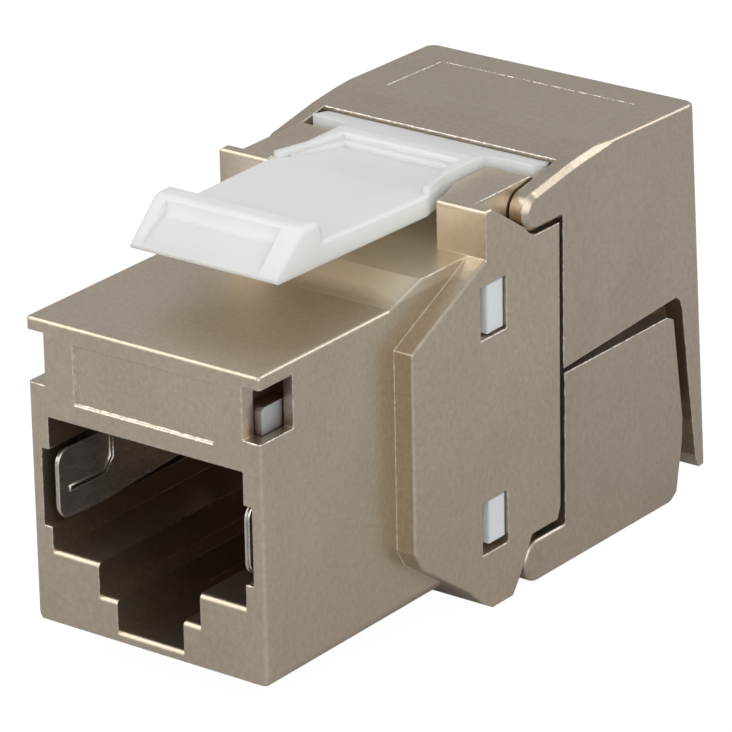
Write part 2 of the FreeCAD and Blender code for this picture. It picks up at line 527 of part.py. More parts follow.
def add_trunnions(body, y, z):
    """Two stub axles on the inner sides of a cover's arms."""
    for name, start, end in (("right", "knuckle_inner + holder_play", "arm_inner + side_play"),
                             ("left", "-arm_inner - side_play", "-knuckle_inner - holder_play")):
        pad(body, f"trunnion_{name}", "YZ", start, end, circles=[(y, z, "trunnion")])


def make_upper_cover():
    """Zinc casting: roof, cheeks, full-height rear wall and two hinge arms with trunnions."""
    body = new_body("upper_cover")
    arm_low, wall_top = "hinge_upper_z - lug_upper", "overall_depth - rear_lean"
    inner_back = "overall_depth - rear_wall"
    pad(body, "outline", "YZ", "-cover_back_half", "cover_back_half", [[
        ("hinge_upper_y", arm_low), ("cheek_upper", arm_low), ("cheek_upper", "seam_front"),
        ("seam_end", "seam_back"), ("seam_end + crest_break", "seam_back - seam_gap"),
        ("leg_front", "seam_back - lower_corner"), (inner_back, "leg_drop / 2"),
        (f"{inner_back} + seam_gap", "-leg_drop"), ("overall_depth - crest_break", "-leg_drop"),
        ("overall_depth", "0"), (wall_top, "cover_rear"), ("cover_crown", "cover_top"),
        ("lip_front", "lip_top"), ("hinge_upper_y", "hinge_upper_z + lug_upper")]])
    pad(body, "arm_noses", "YZ", "-cover_back_half", "cover_back_half",
        circles=[("hinge_upper_y", "hinge_upper_z", "lug_upper")])
    taper_sides(body)
    soften(body, "Fillet", "corner_rounds", "corner_round", both_sides(
        ("cover_front_half", wall_top, "0"), ("cover_back_half", "overall_depth", "cover_rear")))
    soften(body, "Chamfer", "brow_chamfers", "brow_chamfer", both_sides(
        ("cover_front_half", "hinge_upper_y - lug_upper", arm_low), ("cover_back_half", "cover_crown", "cover_top")))
    soften(body, "Fillet", "crest_rounds", "crest_round", [
        (("-cover_back_half", "cover_crown", "cover_rear"), ("cover_back_half", wall_top, "cover_top"))])
    inner_top = "cover_rear - cover_wall"
    pocket(body, "inside", "YZ", "-arm_inner", "arm_inner", [[
        ("ear_front", "-foot_drop - leg_drop"), (f"{inner_back} + holder_play", "-foot_drop - leg_drop"),
        (f"{inner_back} - rear_lean", inner_top), ("lip_front + lip_run", inner_top),
        ("lip_front", "lip_top - lip_edge"), ("lip_front", "cover_top + cover_wall"),
        ("ear_front", "cover_top + cover_wall")]])
    panel_front, panel_back = "cover_crown + panel_setback", "cover_crown + panel_setback + panel_length"
    pocket(body, "top_panel", "YZ", "-panel_half", "panel_half", [[
        (panel_front, "cover_top - panel_sink - top_slope * panel_setback"),
        (panel_back, "cover_top - panel_sink - top_slope * (panel_setback + panel_length)"),
        (panel_back, "cover_top + panel_sink"), (panel_front, "cover_top + panel_sink")]])
    add_trunnions(body, "hinge_upper_y", "hinge_upper_z")
    pocket(body, "cable_slot", "XZ", "seam_end", "overall_depth + cover_wall", [
        rectangle("-cable_radius", "-foot_drop", "cable_radius", "cable_height")])
    pocket(body, "cable_arch", "XZ", "seam_end", "overall_depth + cover_wall",
           circles=[("0", "cable_height", "cable_radius")])
    return body


def make_lower_cover():
    """Zinc casting: floor, cheeks, notched rear wall and two hinge lugs with trunnions."""
    body = new_body("lower_cover")
    pad(body, "outline", "YZ", "-cover_back_half", "cover_back_half", [[
        ("hinge_lower_y", "-foot_drop"), ("lower_back - heel_run", "-foot_drop"),
        ("lower_back - heel_run / 2", "-foot_drop + heel_rise"),
        ("lower_back - jog_depth", "lower_jog - lower_corner"), ("lower_back - jog_depth", "lower_jog"),
        ("lower_back", "lower_jog + jog_rise"), ("lower_back", "lower_jog + 2 * jog_rise"),
        ("lower_back - lower_taper", "seam_low - lower_corner"),
        ("lower_back - lower_taper - lower_corner / 3", "seam_low - lower_corner / 3"),
        ("lower_back - lower_taper - lower_corner", "seam_low"),
        ("cheek_lower", "seam_low"), ("cheek_lower", "hinge_lower_z + lug_lower"),
        ("hinge_lower_y", "hinge_lower_z + lug_lower")]])
    pad(body, "lug_noses", "YZ", "-cover_back_half", "cover_back_half",
        circles=[("hinge_lower_y", "hinge_lower_z", "lug_lower")])
    taper_sides(body)
    soften(body, "Fillet", "floor_rounds", "edge_round", both_sides(
        ("cover_front_half", "hinge_lower_y", "-foot_drop"),
        ("cover_back_half", "lower_back - heel_run", "-foot_drop")))
    soften(body, "Fillet", "corner_rounds", "lower_round", both_sides(
        ("cover_front_half", "lower_back - lower_taper", "lower_jog + 2 * jog_rise"),
        ("cover_back_half", "lower_back", "seam_low - lower_corner")))
    floor = "cover_wall - foot_drop"
    pocket(body, "inside", "YZ", "-arm_inner", "arm_inner", [[
        ("ear_front", "-foot_drop - cover_wall"), ("cheek_lower", "-foot_drop - cover_wall"),
        ("cheek_lower", floor), ("lower_back - rear_wall - jog_depth", floor),
        ("lower_back - rear_wall - 2 * jog_depth", "seam_low + cover_wall"),
        ("ear_front", "seam_low + cover_wall")]])
    add_trunnions(body, "hinge_lower_y", "hinge_lower_z")
    pocket(body, "cable_notch", "XZ", "lower_back - leg_depth", "overall_depth",
           circles=[("0", "cable_height", "cable_radius")])
    return body


def make_snap_latch():
    """White moulding: scooped thumb face, leaf with a rimmed tray, and a round root bar."""
    body = new_body("snap_latch")
    toe, rim_top, rim_low = "latch_under + latch_toe", "leaf_end + rim_height", "leaf_end + rim_step"
    pad(body, "leaf", "YZ", "-root_half", "root_half", [[
        ("latch_front", "latch_under"), ("latch_front", toe), ("thumb_back", "ridge_top"),
        ("ridge_back", "ridge_top"), ("ridge_back + latch_round", "leaf_top"),
        ("waist_back", "leaf_top - side_play"), ("tray_back", "leaf_end"), ("tray_back + rim_width", rim_top),
        ("strip_back", "strip_top"), ("strip_back", "root_z + root_bead / 2"), ("root_y", "root_z - side_play"),
        ("root_y - 2 * root_bead", "latch_under"), ("waist_back", "latch_under")]])
    pad(body, "root_bar", "YZ", "-root_half", "root_half", circles=[("root_y", "root_z", "root_bead")])
    bar_front = "root_y - root_bead - moulding_play"
    side = [("latch_half", "0"), ("latch_half", "latch_front"), ("waist_half", "waist_back"),
            ("waist_half - latch_round", "waist_back + neck_run / 3"), ("neck_half", "waist_back + neck_run"),
            ("neck_half", "hinge_upper_y + lug_half"), ("knuckle_inner - holder_play", bar_front),
            ("collar_width", bar_front), ("collar_width", "0")]
    pocket(body, "sides", "XY", "deck_height", "cover_top + ridge_rise", [side, mirrored(side)])
    soften(body, "Fillet", "ridge_rounds", "ridge_heel", [
        (("-waist_half", "thumb_back", "ridge_top"), ("waist_half", "ridge_back", "ridge_top"))])
    soften(body, "Fillet", "leaf_rounds", "latch_round", both_sides(
        ("latch_half", "ridge_back", "leaf_top - side_play"), ("waist_half", "waist_back", "leaf_top")))
    soften(body, "Fillet", "thumb_rounds", "latch_round", both_sides(
        ("latch_half", "latch_front", toe), ("waist_half", "ridge_back - ridge_heel", "ridge_top")))
    soften(body, "Fillet", "toe_rounds", "latch_round", [
        (("-latch_half", "latch_front", "latch_under"), ("latch_half", "latch_front", "latch_under"))])
    deepest = ("latch_front + scoop_way * thumb_run + scoop_sink * thumb_climb",
               f"{toe} + scoop_way * thumb_climb - scoop_sink * thumb_run")
    pocket(body, "scoop", "YZ", "scoop_left - latch_half", "latch_half - scoop_right",
           circles=[("scoop_y", "scoop_z", "scoop_radius")])
    pocket(body, "scoop_run", "YZ", "scoop_left - latch_half", "latch_half - scoop_right", [
        [("latch_front", toe), deepest, ("scoop_y", "scoop_z"), ("latch_front", "scoop_z")]])
    rim = [("waist_half - side_play", "waist_back + ridge_heel"), ("neck_half", "waist_back + neck_run"),
           ("neck_half", "tray_back + rim_width")]
    ledge_half, ledge_back = "tray_half + tray_flare + rim_ledge", "tray_back + rim_ledge"
    ledge = [(ledge_half, "waist_back + ridge_heel"), ("tray_half + rim_ledge", ledge_back)]
    step = [("neck_half", "waist_back + neck_run / 3"), ("neck_half", "tray_back + rim_width")]
    tray = [("tray_half + tray_flare", "waist_back + neck_run / 3"), ("tray_half", "tray_back")]
    pad(body, "rim", "XY", "leaf_end - rim_height", rim_top, [
        rim + mirrored(rim) + list(reversed(ledge + mirrored(ledge)))])
    pad(body, "rim_steps", "XY", "leaf_end - rim_height", rim_low, [
        step + mirrored(step) + list(reversed(tray + mirrored(tray)))])
    soften(body, "Fillet", "rim_rounds", "rim_round", [
        ((f"-({ledge_half})", "waist_back", rim_top), (ledge_half, ledge_back, rim_top)),
        (("-tray_half - tray_flare", "waist_back", rim_low), ("tray_half + tray_flare", "tray_back", rim_low))])
    return body


def make_contact_carrier():
    """Moulding over the port, slotted underneath for the eight contacts."""
    body = new_body("contact_carrier")
    low, high, front = "port_top + moulding_play", "front_roof - moulding_play", "face_plate + moulding_play"
    pad(body, "block", "YZ", "-moulding_half", "moulding_half", [[
        (front, f"{low} + carrier_break"), (f"{front} + carrier_break", low), ("carrier_back", low),
        ("carrier_back", high), (f"{front} + 3 * carrier_break", high), (front, f"{high} - 3 * carrier_break")]])
    shoulder = rectangle("notch_inner - shoulder_round", "0", "body_width / 2", "notch_depth + shoulder_round")
    pocket(body, "shoulders", "XY", f"{high} - shoulder_drop", "front_roof", [shoulder, mirrored(shoulder)])
    half = "contact_slot / 2"
    slots = []
    for index in range(CONTACTS):
        centre = f"{index - (CONTACTS - 1) / 2} * contact_pitch"
        slots.append(rectangle(f"{centre} - {half}", "contact_root_y - contact_root - moulding_play",
                               f"{centre} + {half}", "carrier_back - contact_slot"))
    pocket(body, "contact_slots", "XY", "port_sill", "contact_root_z + contact_root + moulding_play", slots)
    return body


def make_plug_contact(index):
    """Sprung strip: a rolled root, a long leg sloping down to the rear and an upturned tip."""
    body = new_body(f"plug_contact_{index + 1}")
    centre = f"{index - (CONTACTS - 1) / 2} * contact_pitch"
    start, end = f"{centre} - contact_width / 2", f"{centre} + contact_width / 2"
    pad(body, "root", "YZ", start, end, circles=[("contact_root_y", "contact_root_z", "contact_root")])
    pad(body, "strip", "YZ", start, end, [[
        ("contact_root_y", "contact_root_z - contact_root"), ("contact_tip_y", "contact_tip_z"),
        ("contact_tip_y + contact_hook", "contact_tip_z + contact_gauge"),
        ("contact_tip_y + contact_hook", "contact_tip_z + 2 * contact_gauge"),
        ("contact_tip_y", "contact_tip_z + contact_gauge"),
        ("contact_root_y", "contact_root_z - contact_root + contact_gauge")]])
    return body


def make_shield_spring(side, sign):
    """Sheet-metal spring in a side groove of the port: rolled root, leaf and turned-out tip."""
    body = new_body(f"shield_spring_{side}")
    pad(body, "root", "XY", "spring_low", "spring_high",
        circles=[(f"{sign}spring_root_x", "spring_root_y", "spring_root")])
    tip_x, tip_y = "spring_bow + spring_flare", "spring_bow_y - spring_lead"
    leaf = [("spring_bow", "spring_bow_y"), (tip_x, tip_y), (f"{tip_x} + spring_gauge", tip_y),
            ("spring_bow + spring_gauge", "spring_bow_y"), ("spring_root_x + spring_root", "spring_root_y"),
            ("spring_root_x", "spring_root_y")]
    pad(body, "leaf", "XY", "spring_low", "spring_high", [mirrored(leaf) if sign else leaf])
    low, high = (("spring_bow", "groove_half"), ("-groove_half", "-spring_bow"))[bool(sign)]
    soften(body, "Fillet", "tip_corners", "spring_corner", [
        ((low, tip_y, "spring_low"), (high, tip_y, "spring_low")),
        ((low, tip_y, "spring_high"), (high, tip_y, "spring_high"))])
    tongue_back, tongue_low = "tongue_front + tongue_length", "spring_low + tongue_low"
    pocket(body, "tongue_slot", "YZ", low, high, [[
        ("tongue_front", tongue_low), (f"{tongue_back} - spring_corner", tongue_low),
        (tongue_back, f"{tongue_low} + spring_corner"), (tongue_back, "groove_high"),
        (f"{tongue_back} - tongue_slot", "groove_high"),
        (f"{tongue_back} - tongue_slot", f"{tongue_low} + spring_corner + tongue_slot / 2"),
        (f"{tongue_back} - spring_corner - tongue_slot / 2", f"{tongue_low} + tongue_slot"),
        ("tongue_front", f"{tongue_low} + tongue_slot")]])
    return body


def make_circuit_board():
    """Board between the plug contacts and the terminals."""
    body = new_body("circuit_board")
    edge = "(moulding_half - moulding_play)"
    pad(body, "board", "XZ", "board_front", "board_back", [rectangle(f"-{edge}", "block_low", edge, "block_high")])
    return body


def terminal_centre(index):
    return f"{index - (TERMINALS_PER_ROW - 1) / 2} * terminal_pitch"


def make_idc_block():
    """White moulding: flange with four snap hooks, and a deck that carries both rows of blades."""
    body = new_body("idc_block")
    inside = "block_front + board_thickness"
    pad(body, "flange", "YZ", "-moulding_half", "moulding_half", [
        rectangle("block_front", "block_low", "block_front + block_flange", "block_high")])
    pad(body, "deck", "YZ", "-moulding_half", "moulding_half", [[
        (inside, "deck_lower"), ("block_back - block_break", "deck_lower"),
        ("block_back", "deck_lower + block_break"), ("block_back", "deck_upper - block_break"),
        ("block_back - block_break", "deck_upper"), (inside, "deck_upper")]])
    hook = [("moulding_half - hook_inset", "window_front + moulding_play"),
            ("hook_out - hook_ramp", "window_front + moulding_play"),
            ("hook_out", "window_front + moulding_play + hook_ramp"),
            ("hook_out", "window_back - moulding_play"),
            ("moulding_half - hook_inset", "window_back - moulding_play")]
    for name, low, high in (("upper", "window_upper_low + moulding_play", "window_upper_high - moulding_play"),
                            ("lower", "block_low", "window_lower_high - moulding_play")):
        pad(body, f"hooks_{name}", "XY", low, high, [hook, mirrored(hook)])
    half_width, half_gauge = "terminal_width / 2 + terminal_fit", "terminal_gauge / 2 + terminal_fit"
    slots = []
    for index in range(TERMINALS_PER_ROW):
        centre = terminal_centre(index)
        slots.append(rectangle(f"{centre} - ({half_width})", f"terminal_y - ({half_gauge})",
                               f"{centre} + {half_width}", f"terminal_y + {half_gauge}"))
    pocket(body, "slots_upper", "XY", "deck_upper - terminal_root", "deck_upper + moulding_play", slots)
    pocket(body, "slots_lower", "XY", "deck_lower - moulding_play", "deck_lower + terminal_root", slots)
    return body


def make_idc_terminal(index):
    """Forked blade that cuts through the insulation of one conductor."""
    body = new_body(f"idc_terminal_{index + 1}")
    centre = terminal_centre(index % TERMINALS_PER_ROW)
    deck, out, back = ("deck_upper", "+", "-") if index < TERMINALS_PER_ROW else ("deck_lower", "-", "+")
    blade, slot, mouth = "terminal_width / 2", "terminal_slot / 2", "terminal_slot / 2 + terminal_mouth"
    root, tip = f"{deck} {back} terminal_root", f"{deck} {out} terminal_reach"
    right = [(f"{centre} + {blade}", root), (f"{centre} + {blade}", f"{tip} {back} terminal_gauge"),
             (f"{centre} + {blade} - terminal_mouth", tip), (f"{centre} + {mouth}", tip),
             (f"{centre} + {slot}", f"{tip} {back} 2 * terminal_mouth"),
             (f"{centre} + {slot}", f"{deck} {out} terminal_gauge")]
    left = [(f"{centre} - ({u[len(centre) + 3:]})", v) for u, v in reversed(right)]
    pad(body, "blade", "XZ", "terminal_y - terminal_gauge / 2", "terminal_y + terminal_gauge / 2", [right + left])
    return body


def make_wire_holder(name, near, far, out):
    """Moulding inside a cover: four wire channels crossed by the trough that takes the blades.

    near is the face towards the terminal block, far the face against the cover, and out the
    sign of the way from near to far.
    """
    body = new_body(name)
    low, high = (near, far) if out == "+" else (far, near)
    pad(body, "block", "XY", low, high, [rectangle("-holder_half", "holder_front", "holder_half", "holder_back")])
    channels = []
    for index in range(TERMINALS_PER_ROW):
        centre = terminal_centre(index)
        channels.append(rectangle(f"{centre} - channel_width / 2", "collar_back",
                                  f"{centre} + channel_width / 2", "overall_depth"))
    trough = rectangle("trough_wall - holder_half", "holder_front + trough_wall",
                       "holder_half - trough_wall", "terminal_y + trough_play")
    for cut, depth, loops in (("channels", "channel_depth", channels), ("trough", "trough_depth", [trough])):
        span = [f"({near}) {'-' if out == '+' else '+'} holder_gap", f"({near}) {out} {depth}"]
        pocket(body, cut, "XY", *(span if out == "+" else reversed(span)), loops)
    return body


make_front_housing()
make_snap_latch()
make_upper_cover()
make_lower_cover()
make_contact_carrier()
for contact in range(CONTACTS):
    make_plug_contact(contact)
make_shield_spring("right", "")
make_shield_spring("left", "-")
make_circuit_board()
make_idc_block()
for terminal in range(2 * TERMINALS_PER_ROW):
    make_idc_terminal(terminal)
make_wire_holder("wire_holder_upper", "deck_upper + holder_gap", "cover_rear - cover_wall - moulding_play", "+")
make_wire_holder("wire_holder_lower", "deck_lower - holder_gap", "cover_wall - foot_drop + moulding_play", "-")

doc.recompute()
for item in doc.Objects:
    if any(mark in item.State for mark in ("Invalid", "Error")):
        raise RuntimeError(f"{item.Label} failed: {item.State}")
os.makedirs("parts", exist_ok=True)
for body in doc.findObjects("PartDesign::Body"):
    if body.Shape.isNull() or not body.Shape.isValid():
        raise RuntimeError(f"{body.Label} has no valid shape")
    body.Shape.exportStep(f"parts/{body.Label}.step")
    box = body.Shape.BoundBox
    print(f"{body.Label:18s} {len(body.Shape.Solids)} solid {body.Shape.Volume:9.2f} mm3 x {box.XMin:.2f} "
          f"{box.XMax:.2f} y {box.YMin:.2f} {box.YMax:.2f} z {box.ZMin:.2f} {box.ZMax:.2f}")
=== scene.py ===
import json
import math

import bmesh
import bpy
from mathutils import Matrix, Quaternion, Vector


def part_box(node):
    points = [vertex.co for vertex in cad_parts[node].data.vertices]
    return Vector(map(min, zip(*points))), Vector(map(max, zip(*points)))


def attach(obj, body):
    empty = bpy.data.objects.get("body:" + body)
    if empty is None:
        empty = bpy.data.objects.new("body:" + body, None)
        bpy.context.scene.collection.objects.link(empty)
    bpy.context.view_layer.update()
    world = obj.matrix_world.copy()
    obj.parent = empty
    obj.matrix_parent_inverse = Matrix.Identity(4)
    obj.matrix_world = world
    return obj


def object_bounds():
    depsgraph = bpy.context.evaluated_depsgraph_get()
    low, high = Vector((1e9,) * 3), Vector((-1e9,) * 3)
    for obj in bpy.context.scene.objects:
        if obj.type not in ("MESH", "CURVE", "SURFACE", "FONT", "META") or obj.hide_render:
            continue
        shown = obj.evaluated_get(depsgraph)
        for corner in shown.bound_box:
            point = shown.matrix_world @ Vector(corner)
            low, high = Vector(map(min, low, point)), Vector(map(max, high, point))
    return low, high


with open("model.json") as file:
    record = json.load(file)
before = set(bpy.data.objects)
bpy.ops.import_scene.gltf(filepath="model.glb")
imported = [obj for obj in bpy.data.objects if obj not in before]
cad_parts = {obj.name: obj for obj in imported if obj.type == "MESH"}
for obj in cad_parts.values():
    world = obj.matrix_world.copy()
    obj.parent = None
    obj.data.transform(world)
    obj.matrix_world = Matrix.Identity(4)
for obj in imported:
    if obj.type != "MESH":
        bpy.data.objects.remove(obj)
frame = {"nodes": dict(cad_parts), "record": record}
cad_low, cad_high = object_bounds()

# The camera stands in front of the jack, to its right and above it, far enough off for the long
# lens to draw its edges almost parallel.
camera_aim = Vector((0.0, -0.0055, 0.0097))
camera_azimuth, camera_elevation, camera_roll = (math.radians(a) for a in (37.083, 22.237, -1.101))
camera_offset = Vector((0.002996, 0.002923, 0.270743))
towards_camera = Vector((
    math.sin(camera_azimuth) * math.cos(camera_elevation),
    -math.cos(camera_azimuth) * math.cos(camera_elevation),
    math.sin(camera_elevation)))
camera_turn = towards_camera.to_track_quat("Z", "Y") @ Quaternion((0, 0, 1), camera_roll)
camera_data = bpy.data.cameras.new("camera")
camera_data.lens = 262.46
camera_data.sensor_width = 36.0
camera_data.clip_start = 0.01
camera = bpy.data.objects.new("camera", camera_data)
camera.rotation_mode = "QUATERNION"
camera.rotation_quaternion = camera_turn
camera.location = camera_aim + camera_turn @ camera_offset
bpy.context.scene.collection.objects.link(camera)
bpy.context.scene.camera = camera
bpy.context.scene.view_settings.view_transform = "Standard"

# A pale studio: even grey surroundings that look white to the camera, a broad key light at the front
# right, and smaller soft boxes high at the left, at the rear, overhead and at the front left.
world = bpy.data.worlds.new("studio")
bpy.context.scene.world = world
world.use_nodes = True
nodes, links = world.node_tree.nodes, world.node_tree.links
nodes.clear()
path = nodes.new("ShaderNodeLightPath")
seen = nodes.new("ShaderNodeMath")
seen.operation = "MAXIMUM"
links.new(path.outputs["Is Camera Ray"], seen.inputs[0])
links.new(path.outputs["Is Transmission Ray"], seen.inputs[1])
ambient, surround = nodes.new("ShaderNodeBackground"), nodes.new("ShaderNodeBackground")
ambient.inputs["Color"].default_value = (0.98, 0.99, 1.0, 1)
ambient.inputs["Strength"].default_value = 0.49
surround.inputs["Color"].default_value = (1, 1, 1, 1)
surround.inputs["Strength"].default_value = 1.0
choose = nodes.new("ShaderNodeMixShader")
links.new(seen.outputs["Value"], choose.inputs["Fac"])
links.new(ambient.outputs["Background"], choose.inputs[1])
links.new(surround.outputs["Background"], choose.inputs[2])
out = nodes.new("ShaderNodeOutputWorld")
links.new(choose.outputs["Shader"], out.inputs["Surface"])


def soft_box(name, direction, distance, width, radiance):
    """A square lamp aimed at the jack, set by how bright its face looks."""
    lamp = bpy.data.lights.new(name, "AREA")
    lamp.shape = "SQUARE"
    lamp.size = width
    lamp.energy = radiance * math.pi * width * width
    holder = bpy.data.objects.new(name, lamp)
    away = Vector(direction).normalized()
    holder.location = camera_aim + away * distance
    holder.rotation_mode = "QUATERNION"
    holder.rotation_quaternion = away.to_track_quat("Z", "Y")
    bpy.context.scene.collection.objects.link(holder)


soft_box("soft_box_key", (0.72, -0.57, 0.4), 0.8, 0.95, 1.35)
soft_box("soft_box_left", (-0.56, -0.4, 0.7), 0.6, 0.24, 2.4)
soft_box("soft_box_rear", (0.38, 0.74, 0.56), 0.6, 0.3, 2.0)
soft_box("soft_box_top", (0.1, -0.1, 1.0), 0.6, 0.3, 0.4)
soft_box("soft_box_front", (-0.56, -0.74, 0.38), 0.7, 0.4, 1.6)

# The floor is a sheet of pale paper just under the jack, which keeps its shadow. It is made brighter
# for the camera alone, so it lights the jack from below as grey paper does.
floor_gap = 0.00005
floor_mesh = bpy.data.meshes.new("floor")
floor_bm = bmesh.new()
bmesh.ops.create_grid(floor_bm, x_segments=1, y_segments=1, size=1.5)
bmesh.ops.translate(floor_bm, verts=floor_bm.verts[:], vec=(0, 0, cad_low.z - floor_gap))
floor_bm.to_mesh(floor_mesh)
floor_bm.free()
floor = bpy.data.objects.new("floor", floor_mesh)
bpy.context.scene.collection.objects.link(floor)
paper = bpy.data.materials.new("studio_paper")
paper.use_nodes = True
nodes, links = paper.node_tree.nodes, paper.node_tree.links
nodes.clear()
path = nodes.new("ShaderNodeLightPath")
share = nodes.new("ShaderNodeMath")
share.operation = "MULTIPLY"
share.inputs[1].default_value = 0.8
links.new(path.outputs["Is Camera Ray"], share.inputs[0])
lit, bright = nodes.new("ShaderNodeBsdfDiffuse"), nodes.new("ShaderNodeEmission")
lit.inputs["Color"].default_value = (0.58, 0.58, 0.58, 1)
bright.inputs["Color"].default_value = (1, 1, 1, 1)
bright.inputs["Strength"].default_value = 1.2
choose = nodes.new("ShaderNodeMixShader")
links.new(share.outputs["Value"], choose.inputs["Fac"])
links.new(lit.outputs["BSDF"], choose.inputs[1])
links.new(bright.outputs["Emission"], choose.inputs[2])
out = nodes.new("ShaderNodeOutputMaterial")
links.new(choose.outputs["Shader"], out.inputs["Surface"])
floor_mesh.materials.append(paper)

# Front housing: one zinc die casting with a satin nickel finish. It holds the plug port, the collar
# that stops the jack in its panel, the ears for the covers and the cradle of the latch. The plating
# is bright and a little uneven along every edge, and fine-grained on the flats.
edge_wear = bpy.data.node_groups.new("edge_wear", "ShaderNodeTree")
edge_wear.interface.new_socket("Radius", in_out="INPUT", socket_type="NodeSocketFloat")
edge_wear.interface.new_socket("Patch Scale", in_out="INPUT", socket_type="NodeSocketFloat")
edge_wear.interface.new_socket("Normal", in_out="INPUT", socket_type="NodeSocketVector")
edge_wear.interface.new_socket("Mask", in_out="OUTPUT", socket_type="NodeSocketFloat")
edge_wear.interface.new_socket("Normal", in_out="OUTPUT", socket_type="NodeSocketVector")
nodes, links = edge_wear.nodes, edge_wear.links
given = nodes.new("NodeGroupInput")
place = nodes.new("ShaderNodeTexCoord")
patches = nodes.new("ShaderNodeTexNoise")
patches.inputs["Detail"].default_value = 3.0
links.new(place.outputs["Object"], patches.inputs["Vector"])
links.new(given.outputs["Patch Scale"], patches.inputs["Scale"])
uneven = nodes.new("ShaderNodeMapRange")
uneven.inputs["From Min"].default_value = 0.36
uneven.inputs["From Max"].default_value = 0.62
uneven.inputs["To Min"].default_value = 0.45
uneven.inputs["To Max"].default_value = 1.5
links.new(patches.outputs["Fac"], uneven.inputs["Value"])
width = nodes.new("ShaderNodeMath")
width.operation = "MULTIPLY"
links.new(given.outputs["Radius"], width.inputs[0])
links.new(uneven.outputs["Result"], width.inputs[1])
rounded = nodes.new("ShaderNodeBevel")
rounded.samples = 6
links.new(width.outputs["Value"], rounded.inputs["Radius"])
links.new(given.outputs["Normal"], rounded.inputs["Normal"])
plain_round = nodes.new("ShaderNodeBevel")
plain_round.samples = 4
links.new(width.outputs["Value"], plain_round.inputs["Radius"])
surface = nodes.new("ShaderNodeNewGeometry")
agree = nodes.new("ShaderNodeVectorMath")
agree.operation = "DOT_PRODUCT"
links.new(plain_round.outputs["Normal"], agree.inputs[0])
links.new(surface.outputs["Normal"], agree.inputs[1])
turned = nodes.new("ShaderNodeMapRange")
turned.inputs["From Min"].default_value = 0.995
turned.inputs["From Max"].default_value = 0.88
links.new(agree.outputs["Value"], turned.inputs["Value"])
flecks = nodes.new("ShaderNodeTexNoise")
flecks.inputs["Scale"].default_value = 6500.0
flecks.inputs["Detail"].default_value = 1.0
links.new(place.outputs["Object"], flecks.inputs["Vector"])
sparse = nodes.new("ShaderNodeMapRange")
sparse.inputs["From Min"].default_value = 0.38
sparse.inputs["From Max"].default_value = 0.58
sparse.inputs["To Min"].default_value = 0.2
links.new(flecks.outputs["Fac"], sparse.inputs["Value"])
worn = nodes.new("ShaderNodeMath")
worn.operation = "MULTIPLY"
links.new(turned.outputs["Result"], worn.inputs[0])
links.new(sparse.outputs["Result"], worn.inputs[1])
result = nodes.new("NodeGroupOutput")
links.new(worn.outputs["Value"], result.inputs["Mask"])
links.new(rounded.outputs["Normal"], result.inputs["Normal"])

grain = bpy.data.node_groups.new("grain", "ShaderNodeTree")
for label in ("Scale X", "Scale Y", "Scale Z", "Roughness"):
    grain.interface.new_socket(label, in_out="INPUT", socket_type="NodeSocketFloat")
grain.interface.new_socket("Value", in_out="OUTPUT", socket_type="NodeSocketFloat")
nodes, links = grain.nodes, grain.links
given = nodes.new("NodeGroupInput")
spread = nodes.new("ShaderNodeCombineXYZ")
for axis in "XYZ":
    links.new(given.outputs["Scale " + axis], spread.inputs[axis])
place = nodes.new("ShaderNodeTexCoord")
stretch = nodes.new("ShaderNodeVectorMath")
stretch.operation = "MULTIPLY"
links.new(place.outputs["Object"], stretch.inputs[0])
links.new(spread.outputs["Vector"], stretch.inputs[1])
grains = nodes.new("ShaderNodeTexNoise")
grains.inputs["Scale"].default_value = 1.0
grains.inputs["Detail"].default_value = 2.0
links.new(stretch.outputs["Vector"], grains.inputs["Vector"])
links.new(given.outputs["Roughness"], grains.inputs["Roughness"])
result = nodes.new("NodeGroupOutput")
links.new(grains.outputs["Fac"], result.inputs["Value"])


def use_group(tree, group, **values):
    """A node group placed in a material, with its inputs set by name."""
    node = tree.nodes.new("ShaderNodeGroup")
    node.node_tree = group
    for label, value in values.items():
        node.inputs[label.replace("_", " ")].default_value = value
    return node


def shade_between(tree, mask, low, high):
    """A colour that goes from one tone to another with a mask, or with one fixed share."""
    mix = tree.nodes.new("ShaderNodeMix")
    mix.data_type = "RGBA"
    share_socket, low_socket, high_socket, colour_socket = 0, 6, 7, 2
    for socket, tone in ((low_socket, low), (high_socket, high)):
        if isinstance(tone, tuple):
            mix.inputs[socket].default_value = (*tone, 1)
        else:
            tree.links.new(tone, mix.inputs[socket])
    if isinstance(mask, float):
        mix.inputs[share_socket].default_value = mask
    else:
        tree.links.new(mask, mix.inputs[share_socket])
    return mix.outputs[colour_socket]


def range_of(tree, value, low, high, to_low, to_high):
    """A value moved from one range to another."""
    span = tree.nodes.new("ShaderNodeMapRange")
    for label, number in (("From Min", low), ("From Max", high), ("To Min", to_low), ("To Max", to_high)):
        span.inputs[label].default_value = number
    tree.links.new(value, span.inputs["Value"])
    return span.outputs["Result"]


